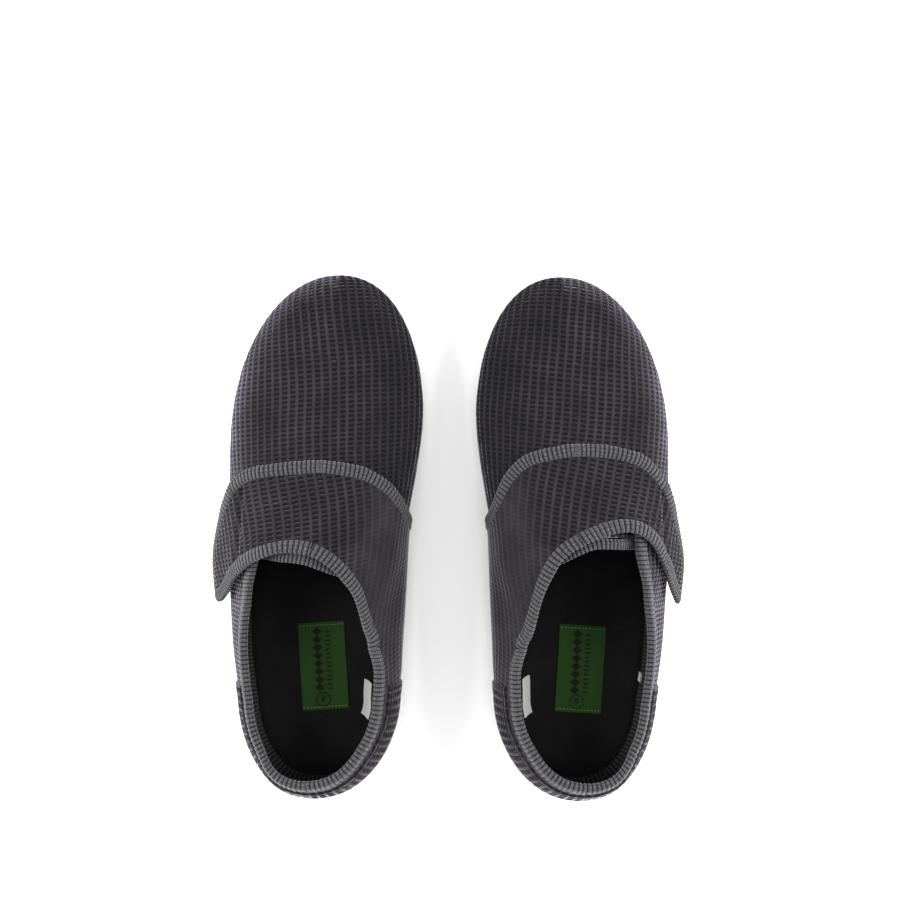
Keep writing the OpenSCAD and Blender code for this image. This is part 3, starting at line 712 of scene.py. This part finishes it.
# ---- knitted edge strips -----------------------------------------------------------------------
def edge_strip(name, k, ya, width, outer, inner, inward, seed, lift=over):
    """A padded strip folded over an edge. ya is the edge as (y, angle) rows, inward which side the cloth lies on."""
    y, a = ya[:, 0], ya[:, 1]
    track = skin(y, a, lift(y, a))
    heel_wrap = y.min() < HEEL + 1
    length = np.concatenate([[0], np.cumsum(np.linalg.norm(np.diff(track, axis=0), axis=1))])
    total = length[-1]
    rows = int(total / 0.42)
    t = np.linspace(0, total, rows + 1)
    ey, inside = np.interp(t, length, y), np.interp(t, length, a > 90) > 0.5
    ea = np.interp(t, length, np.where(heel_wrap & (a > 90), 180 - a, a))
    for _ in range(0 if heel_wrap else 50):
        ey[1:-1] = (ey[:-2] + 2 * ey[1:-1] + ey[2:]) / 4
        ea[1:-1] = (ea[:-2] + 2 * ea[1:-1] + ea[2:]) / 4
    ea = np.where(heel_wrap & inside, 180 - ea, ea)
    base = lift(ey, ea)
    c = skin(ey, ea, base)
    tangent = np.gradient(c, axis=0)
    tangent /= np.linalg.norm(tangent, axis=1, keepdims=True)
    h = 0.05
    along = (skin(ey + h, ea, base) - skin(ey - h, ea, base)) / (2 * h)
    around = (skin(ey, ea + h, base) - skin(ey, ea - h, base)) / (2 * h)
    up = np.cross(around, along)
    up /= np.linalg.norm(up, axis=1, keepdims=True)
    side = np.cross(up, tangent) * inward
    # how far y and the angle move for one millimetre across the strip
    g11, g12, g22 = (along * along).sum(1), (along * around).sum(1), (around * around).sum(1)
    b1, b2 = (along * side).sum(1), (around * side).sum(1)
    det = g11 * g22 - g12 * g12
    dy, da = (b1 * g22 - b2 * g12) / det, (g11 * b2 - g12 * b1) / det
    if heel_wrap:  # the back of the heel comes to a point in y, so the strip only widens round the last there
        dy, da = dy * 0, np.where(inside, 1, -1) / np.sqrt(g22)
    rng = np.random.default_rng(seed)
    wander = np.interp(t, np.linspace(0, total, int(total / 6) + 2), rng.uniform(-0.22, 0.22, int(total / 6) + 2))
    out_d = outer(ey, ea) if callable(outer) else np.full_like(ey, outer)
    in_d = inner(ey, ea) if callable(inner) else np.full_like(ey, inner)
    around_steps = 22
    perimeter = 2 * (width + 3.5)

    def shape(u, v):
        row = np.rint(v[:, 0] * rows).astype(int)
        phi = 2 * np.pi * u
        cw, sw = np.cos(phi), np.sin(phi)
        wide = width / 2 * (1 + np.sign(cw) * np.abs(cw) ** 0.8)
        tall = np.sign(sw) * np.abs(sw) ** 0.6
        s = t[row][:, None]
        beat = s / total * round(total / RIB) + 0.5
        rib = np.abs(np.sin(np.pi * (beat + 0.06 * np.sin(wide * 1.3)))) ** 0.7 - 0.6
        loop = 0.12 * np.cos(2 * np.pi * wide / 1.9)
        mid, thick = (out_d + in_d)[row][:, None] / 2, (out_d - in_d)[row][:, None] / 2
        lift = mid + (thick + (0.6 * rib + loop) * (0.35 + 0.65 * (sw > 0))) * tall
        spread = wide + 0.5 * rib * np.where(cw < -0.4, -1, 0) + wander[row][:, None] * (cw < 0)
        yy, aa = ey[row][:, None] + dy[row][:, None] * spread, ea[row][:, None] + da[row][:, None] * spread
        p = skin(yy, aa, base[row][:, None] + lift)
        return p, np.stack([beat * RIB + 0 * u, perimeter * u + 0 * s], -1)

    piece = laid(name, k, around_steps, rows, shape, caps=True)
    bm = bmesh.new()
    bm.from_mesh(piece.data)
    bmesh.ops.recalc_face_normals(bm, faces=bm.faces)
    bm.to_mesh(piece.data)
    bm.free()
    return piece


def rows_of(*parts):
    return np.concatenate([np.stack(np.broadcast_arrays(np.asarray(y, float), np.asarray(a, float)), -1)
                           for y, a in parts])


# ---- sole --------------------------------------------------------------------------------------------
def rim_point(t, inset):
    """Point of the sole's outline: t runs once round from the heel by the outer side."""
    t = np.mod(t, 1.0)
    side = np.where(t < 0.5, 1.0, -1.0)
    s = np.where(t < 0.5, 2 * t, 2 - 2 * t)
    waist = mix(HEEL_FAN, BALL, clamp01((s - 0.22) / 0.4))
    y = np.where(s < 0.22, heel_rows(clamp01(s / 0.22)),
                 np.where(s < 0.62, waist, toe_rows(clamp01((s - 0.62) / 0.38))))
    ox, oy = out_dir(y)
    return centre_x(y) + side * (side_half(y, side) - inset * ox), y - inset * oy


def sole_shape(u, v):
    """Closed outsole: from the middle of the tread out to its edge, up the wall and in over the top."""
    ground, wall, top = clamp01(v / 0.62), clamp01((v - 0.62) / 0.23), clamp01((v - 0.85) / 0.15)
    bulge = 3.4 - 0.9 * np.sin(np.pi * wall) + 1.3 * (1 - ease(wall / 0.25)) + 1.6 * ease(top / 0.2) * (top > 0)
    rx, ry = rim_point(u, bulge)
    cy = np.clip(ry, -98, 98)
    cx = centre_x(cy)
    reach = np.where(v < 0.62, ground, np.where(v < 0.85, 1.0, 1 - top))
    x, y = mix(cx, rx, reach), mix(cy, ry, reach)
    low, high = spring(y), feather(y) - 0.2
    chevron = np.abs(np.mod((y - 0.445 * np.abs(x - centre_x(y)) + 4) / 12, 1) - 0.5)
    cut = (1 - ease((chevron - 0.07) / 0.05)) * ease((np.abs(x - centre_x(y)) - 5) / 1.5) * 2.2
    edge = 1.2 * (1 - ease((1 - ground) / 0.02))
    z = np.where(v < 0.62, low + cut * (v < 0.6) + edge * (v > 0.6),
                 np.where(v < 0.85, mix(low + 1.2, high - 0.8, wall), high - 0.8 * (1 - ease(top / 0.08))))
    return np.stack([x, y, z], -1), np.stack([u * 800, v * 100], -1)


def sole_relief(uv, u, v):
    wall = clamp01((v - 0.62) / 0.23)
    welt = np.exp(-((wall - 0.74) / 0.05) ** 2) + 0.6 * np.exp(-((wall - 0.3) / 0.035) ** 2)
    return -0.7 * welt * (v > 0.62) * (v < 0.85)


# ---- insole ---------------------------------------------------------------------------------------------
def insole_shape(u, v):
    """Foam footbed under fleece: flat in the middle, rolled down at its edge."""
    side = 1 - v
    rx, ry = rim_point(u, 8.6)
    cy = np.clip(ry, -98, 98)
    reach = np.minimum(1, side / 0.9)
    roll = clamp01((side - 0.8) / 0.2)
    x, y = mix(centre_x(cy), rx, np.where(side < 0.9, side / 0.9, 1)), mix(cy, ry, reach)
    cup = 1.4 * ease((reach - 0.55) / 0.4) * ease((-20 - y) / 60)
    z = feather(y) + SOCK_TOP + cup * (1 - roll) - 5.8 * (1 - np.sqrt(np.maximum(0, 1 - roll**2)))
    dimple = 0.15 * np.sin(x / 5.1) * np.sin(y / 6.3 + x / 17)
    return np.stack([x, y, z + dimple * (1 - roll)], -1), np.stack([x, y], -1)


# ---- build both slippers ----------------------------------------------------------------------------------
SIDES = ("left", "right")


def bend_at(k, y, a, width, d):
    """Where a bend across a fold starts and ends: width degrees to each side of the angle a."""
    return in_pair(y, a + width, d, k), in_pair(y, a - width, d, k)


def velour_relief(uv, u, v):
    return waffle(uv)


def build_upper(k):
    s = SIDES[k]
    slipper, strap, tab = f"{s}_slipper", f"{s}_strap", f"{s}_tab"
    open_bend = (slipper, strap, *bend_at(k, -15.0, HINGE, 7.0, 2.0))
    peel_bend = (strap, tab, *bend_at(k, 9.0, CREASE, 6.0, 6.0))

    vamp = laid(f"{s}_vamp_velour", k, 176, 236, vamp_shape(k, 0.0, 11 + k), velour_relief)
    finish_piece(thicken(vamp, 1.6), VELOUR_CLOTH, "waffle_velour", f"{s}_vamp", body=slipper)
    lining = laid(f"{s}_vamp_fleece", k, 60, 70, vamp_shape(k, -3.0))
    finish_piece(thicken(lining, 1.3), FLEECE, "fleece", f"{s}_vamp_lining", body=slipper)

    def outer_quarter(u, v):
        y, a = lateral_ya(v, 1 - u, k, 4.9)
        # the last value paints side light and shade into the velour's colour
        return skin(y, a, 2.1), drift(grain(y, a), 21 + k), 1.0, painted_side_light(a)
    quarter = laid(f"{s}_outer_quarter_velour", k, 74, 300, outer_quarter, velour_relief)
    finish_piece(thicken(quarter, 1.6), VELOUR_CLOTH, "waffle_velour", f"{s}_lateral_quarter", body=slipper)

    def inner_heel(u, v):
        y0 = np.where(v < 0.6, heel_rows(clamp01(v / 0.6)), mix(HEEL_FAN, SPLIT_Y, clamp01((v - 0.6) / 0.4)))
        top = np.minimum(medial_top(y0) + 4.9, 180)
        a = mix(180.0, top, u)
        return skin(y0, a, 2.1 + over(y0, a)), strap_cut(y0, a, 31 + k), 0.4
    heel = laid(f"{s}_inner_heel_velour", k, 60, 150, inner_heel, velour_relief)
    finish_piece(thicken(heel, 1.6), VELOUR_CLOTH, "waffle_velour", body=slipper)
    inner = laid(f"{s}_inner_quarter_and_strap_velour", k, 120, 140, inner_strap_shape(k, 2.1, 31 + k), velour_relief)
    finish_piece(thicken(inner, 1.6), VELOUR_CLOTH, "waffle_velour", f"{s}_medial_quarter", f"{s}_strap",
                 bend=open_bend)
    end = laid(f"{s}_strap_and_tab_velour", k, 118, 140, outer_strap_shape(k, 2.1, 31 + k), velour_relief)
    finish_piece(thicken(end, 1.6), VELOUR_CLOTH, "waffle_velour", f"{s}_tab", bend=peel_bend)

    strap_fleece = laid(f"{s}_strap_fleece", k, 50, 60, inner_strap_shape(k, 0.15, 3, 3.0, 152.0))
    finish_piece(thicken(strap_fleece, 1.1), FLEECE, "fleece", f"{s}_strap_lining", bend=open_bend)
    tab_fleece = laid(f"{s}_tab_fleece", k, 60, 40, outer_strap_shape(k, 0.15, 3, 4.5))
    finish_piece(thicken(tab_fleece, 0.9), FLEECE, "fleece", f"{s}_tab_lining", bend=peel_bend)

    tongue = laid(f"{s}_tongue_velour", k, 80, 66, tongue_shape(k, 0.0), velour_relief)
    finish_piece(thicken(tongue, 1.6), VELOUR_CLOTH, "waffle_velour", f"{s}_tongue", body=slipper)
    tongue_fleece = laid(f"{s}_tongue_fleece", k, 30, 24, tongue_shape(k, -3.0))
    finish_piece(thicken(tongue_fleece, 1.3), FLEECE, "fleece", f"{s}_tongue_lining", body=slipper)

    wall = laid(f"{s}_quarter_fleece", k, 120, 26, band(k, 1, 1, 0, 1, 4.6, -0.9))
    finish_piece(thicken(wall, 1.4), FLEECE, "fleece", f"{s}_quarter_lining", body=slipper)

    def heel_cover(u, v):
        p, uv = band(k, 0.37, 0.37, 0, 1, 7.0, 3.4)(u, v)
        return p, drift(uv + np.array([1.0, 0.5]), 41 + k)

    def cover_relief(uv, u, v):
        hem = np.minimum(np.minimum(u, 1 - u) * 190, (1 - v) * 40)
        rolled = -1.3 * (1 - ease(hem / 1.3))
        stitch = -0.5 * np.exp(-((hem - 3.0) / 0.5) ** 2)
        return 0.7 * waffle(uv) * ease((hem - 1) / 3) + rolled + stitch
    cover = laid(f"{s}_heel_cover_velour", k, 230, 72, heel_cover, cover_relief)
    finish_piece(thicken(cover, 1.2), VELOUR_CLOTH, "waffle_velour", f"{s}_heel_panel", body=slipper)

    def cove(u, v):
        return band(k, 0.8, 0.8, 0.2, 0.42, 5.4, mix(-10.5, -3.2, v))(u, v)
    tape = laid(f"{s}_seam_tape_ribbed", k, 420, 8, cove,
                lambda uv, u, v: 0.35 * np.abs(np.sin(np.pi * uv[..., 0] / 2.2)))
    finish_piece(thicken(tape, 0.7), TAPE, "tape", f"{s}_seam_tape", body=slipper)

    stiff = laid(f"{s}_heel_stiffener", k, 90, 12, band(k, 0.36, 0.36, 0.02, 0.8, 7.0, -0.1))
    finish_piece(thicken(stiff, 0.4), STIFFENER, "stiffener", f"{s}_heel_counter", body=slipper)

    # knitted edge strips: strap front, strap end and tab, mouth, tongue
    up = np.linspace(180, 90, 90)
    front = edge_strip(f"{s}_front_edge_knit", k, rows_of((strap_front(up, k), up)), BIND, 2.7, -0.9, 1, 51)
    finish_piece(front, KNIT, "knit_binding", f"{s}_quarter_front_binding", bend=open_bend)
    down = np.linspace(91, CREASE, 60)
    half_turn = np.sin(np.radians(np.linspace(0, 90, 60)))

    def rim(side_u):
        y, a = tab_ya(half_turn, side_u, k, 0.0)
        edge = strap_front(CREASE, k) if side_u > 0 else strap_rear(CREASE, k)
        return y + (edge - y[0]) * (1 - ease(np.linspace(0, 1, 60) / 0.7)), a
    front_y, front_a = rim(1)
    rear_y, rear_a = rim(-1)
    tab_edge = rows_of((strap_front(down, k)[:-1], down[:-1]), (front_y, front_a),
                       (rear_y[::-1][1:], rear_a[::-1][1:]), (strap_rear(down, k)[::-1][1:], down[::-1][1:]))
    end_strip = edge_strip(f"{s}_tab_edge_knit", k, tab_edge, BIND, 2.7, -0.7, 1, 52,
                           lambda y, a: over(y, a) + flare(y, a))
    finish_piece(end_strip, KNIT, "knit_binding", f"{s}_tab_binding", bend=peel_bend)
    inner_a = np.linspace(90, 139.5, 90)
    inner_y = strap_rear(inner_a, k)
    tail_y = np.linspace(inner_y[-1] - 1, SPLIT_Y - 1, 4)
    mouth = rows_of((inner_y, inner_a), (tail_y, np.maximum(medial_top(tail_y), 139.6)))
    mouth_strip = edge_strip(f"{s}_mouth_edge_knit", k, mouth, BIND, 2.7,
                             lambda y, a: mix(-2.7, -0.9, ease((y + 58) / 25)), 1, 53)
    finish_piece(mouth_strip, KNIT, "knit_binding", f"{s}_strap_binding", bend=open_bend)
    heel_y = heel_rows(np.linspace(0, 1, 90))
    med_y, lat_y = np.linspace(HEEL_FAN, SPLIT_Y - 1, 20), np.linspace(HEEL_FAN, (-3, 12)[k], 60)
    ring = rows_of((med_y[::-1], medial_top(med_y[::-1])), (heel_y[::-1][1:], medial_top(heel_y[::-1][1:])),
                   (heel_y[1:], lateral_top(heel_y[1:])), (lat_y[1:], lateral_top(lat_y[1:])))
    heel_strip = edge_strip(f"{s}_topline_edge_knit", k, ring, BIND, 2.7, -2.7, 1, 54,
                            lambda y, a: over(y, a) * (a > 90))
    finish_piece(heel_strip, KNIT, "knit_binding", f"{s}_topline_binding", body=slipper)

    lip = np.linspace(125, 50, 90)
    lip_y = soft(lip, TONGUE_REAR[k], 5)

    def lip_level(shift):
        return lambda y, a: shift - tongue_dip(a) - over(y, a)
    lip_strip = edge_strip(f"{s}_tongue_edge_knit", k, rows_of((lip_y, lip)), BIND - 1.5, lip_level(-0.9),
                           lip_level(-4.3), -1, 55)
    finish_piece(lip_strip, KNIT, "knit_binding", f"{s}_tongue_binding", body=slipper)


def build_inside(k):
    s = SIDES[k]
    slipper = f"{s}_slipper"
    pad = laid(f"{s}_insole_fleece", k, 240, 60, insole_shape)
    finish_piece(pad, FLEECE, "fleece", f"{s}_sock_liner", f"{s}_footbed", body=slipper)
    sole = laid(f"{s}_outsole_rubber", k, 560, 150, lambda u, v: sole_shape(u, 1 - v),
                lambda uv, u, v: -sole_relief(uv, u, 1 - v))
    finish_piece(sole, RUBBER, "outsole", f"{s}_outsole", body=slipper)

    def patch(lo, hi, d):
        def shape(u, v):
            a = mix(hi, lo, u)
            y = mix(-17, 9, v) + mix(6, -6, u)
            return skin(y, a, d), np.stack([60 * u, 60 * v], -1)
        return shape
    loop_piece = laid(f"{s}_loop_pile", k, 30, 30, patch(15, 34, 3.0))
    finish_piece(thicken(loop_piece, 0.7), LOOPS, "loop_tape", f"{s}_loop_patch", body=slipper)
    hook_piece = laid(f"{s}_hook_field", k, 30, 30, patch(16, 33, 4.1))
    finish_piece(thicken(hook_piece, 0.7), HOOKS, "hook_tape", f"{s}_hook_patch", body=f"{s}_tab")


LABEL_AT = ((72.8, -74.0, -3.4), (78.0, -74.5, -2.6))


def label_point(k, x, y, lift):
    """x and y from the label's middle, y towards the toes."""
    cx, cy, turn = LABEL_AT[k]
    c, s = math.cos(math.radians(turn)), math.sin(math.radians(turn))
    px, py = cx + x * c - y * s, cy + x * s + y * c
    return np.stack([px, py, feather(py) + SOCK_TOP + 0.12 + lift + 0 * px], -1)


def build_labels(k):
    s = SIDES[k]
    slipper = f"{s}_slipper"
    wide, long = 26.5, 50.0

    def label(u, v):
        x, y = (u - 0.5) * wide, (v - 0.5) * long
        lift = 0.5 + 0.1 * np.sin(y / 5 + x / 9) - 0.25 * ease((np.abs(y) - 23.5) / 1.5)
        return label_point(k, x, y, lift), np.stack([x, y], -1)
    piece = laid(f"{s}_woven_label_satin", k, 40, 70, label)
    finish_piece(thicken(piece, 0.3), LABEL, "label", f"{s}_woven_label", body=slipper)

    # sewn ends: a row of short stitches, and the woven marks: lozenges, dashes and a ring
    def stitch_row(name, marks, material):
        bm = bmesh.new()
        for x, y, half_w, half_h, points in marks:
            made = bmesh.ops.create_circle(bm, cap_ends=True, segments=points, radius=1.0)["verts"]
            for vert in made:
                spot = placed(label_point(k, np.array(x + vert.co.x * half_w), np.array(y + vert.co.y * half_h),
                                          0.72), k) * MM
                vert.co = spot
            if k == 0:
                bmesh.ops.reverse_faces(bm, faces=list({f for v in made for f in v.link_faces}))
        mesh = to_new_mesh(bm, name)
        layer = mesh.uv_layers.new(name="grain")
        for loop in mesh.loops:
            layer.data[loop.index].uv = mesh.vertices[loop.vertex_index].co.xy
        rows = thicken(into_scene(name, mesh), 0.25, 1.0)
        rows.data.materials.append(material)
        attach(rows, slipper)

    ends = [(x, sign * 23.4, 0.62, 0.3, 12) for x in np.linspace(-12, 12, 13) for sign in (-1, 1)]
    stitch_row(f"{s}_label_stitches", ends, THREAD_GREEN)
    hand = -1 if k == 0 else 1
    bold = [(hand * -2.6, y, 2.7, 2.3, 4) for y in np.linspace(-12.2, 20, 8)]
    thin = [(hand * 3.4, y, 1.7, 0.5, 8) for y in np.linspace(-13, 19.5, 14)]
    ring = [(hand * -1 + 3.9 * math.cos(t), -19.0 + 3.9 * math.sin(t), 0.42, 0.42, 8)
            for t in np.linspace(0, 2 * math.pi, 25)[:-1]]
    nine = [(hand * -1 + 0.95 * math.cos(t), -18.2 + 0.95 * math.sin(t), 0.36, 0.36, 8)
            for t in np.linspace(0, 2 * math.pi, 11)[:-1]]
    nine += [(hand * -1 + 0.95 - 0.25 * t, -18.4 - 0.6 * t, 0.36, 0.36, 8) for t in range(1, 4)]
    stitch_row(f"{s}_label_marks", bold + thin + ring + nine, THREAD_BLACK)

    span = ((-104, -80), (-102, -77))[k]

    def care(u, v):
        a = mix(163, 150.5, v)
        y = mix(span[0], span[1], u)
        lean = mix(-17.0, -5.0, v) + 0.5 * np.sin(u * 5)
        return skin(y, a, lean), np.stack([u * 24, v * 18], -1)
    tag = laid(f"{s}_care_label_satin", k, 30, 24, care)
    finish_piece(thicken(tag, 0.3), TAG, "tag", f"{s}_care_label", body=slipper)
    if k == 1:
        def size(u, v):
            a = mix(25, 19, v)
            return skin(mix(-78.5, -73.5, u), a, mix(-5.2, -8.0, v)), np.stack([u * 5, v * 9], -1)
        small = laid("right_size_tag_satin", k, 8, 14, lambda u, v: size(1 - u, v))
        finish_piece(thicken(small, 0.8), TAG, "tag", "right_size_tag", body=slipper)


for index in (0, 1):
    build_upper(index)
    build_inside(index)
    build_labels(index)

# inner layers that stay as the frame's own nodes
for name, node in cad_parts.items():
    for ending, material in (("_midsole", FOAM), ("_insole_board", BOARD), ("_toe_puff", STIFFENER)):
        if name.endswith(ending):
            node.data.materials.clear()
            node.data.materials.append(material)

# ---- floor, light and camera --------------------------------------------------------------------------------
bm = bmesh.new()
bmesh.ops.create_grid(bm, x_segments=2, y_segments=2, size=4.0)
floor = into_scene("floor", to_new_mesh(bm, "floor"))
floor.location.z = -0.0002  # a hair below the soles, so that the two faces don't meet
floor_material, _, floor_shader = new_material("pale matt paper", 0.9, 0.0)
floor_shader.inputs["Base Color"].default_value = linear("#fafafa")
floor.data.materials.append(floor_material)

world = bpy.data.worlds.new("soft room")
world.use_nodes = True
world.node_tree.nodes["Background"].inputs["Color"].default_value = linear("#ffffff")
world.node_tree.nodes["Background"].inputs["Strength"].default_value = 0.88
bpy.context.scene.world = world


def softbox(name, place, aim, size, power):
    light = bpy.data.lights.new(name, "AREA")
    light.shape = "RECTANGLE"
    light.size, light.size_y = size
    light.energy = power
    lamp = into_scene(name, light)
    lamp.location = place
    direction = np.array(aim) - np.array(place)
    lamp.rotation_euler = (math.atan2(math.hypot(direction[0], direction[1]), -direction[2]), 0,
                           math.atan2(direction[0], -direction[1]) + math.pi)


softbox("left softbox", (-1.2, 0.05, 0.45), (-0.07, 0.03, 0.05), (0.5, 1.6), 58)
softbox("right softbox", (1.2, 0.05, 0.45), (0.07, 0.03, 0.05), (0.5, 1.6), 58)
softbox("top softbox", (0, 0.05, 1.6), (0, 0, 0), (0.6, 0.9), 10.5)

camera_data = bpy.data.cameras.new("camera")
camera_data.lens = 60.7
camera_data.sensor_width = 36
camera = into_scene("camera", camera_data)
camera.location = (0, 0.05, 0.9)
bpy.context.scene.camera = camera
bpy.context.scene.view_settings.view_transform = "Standard"
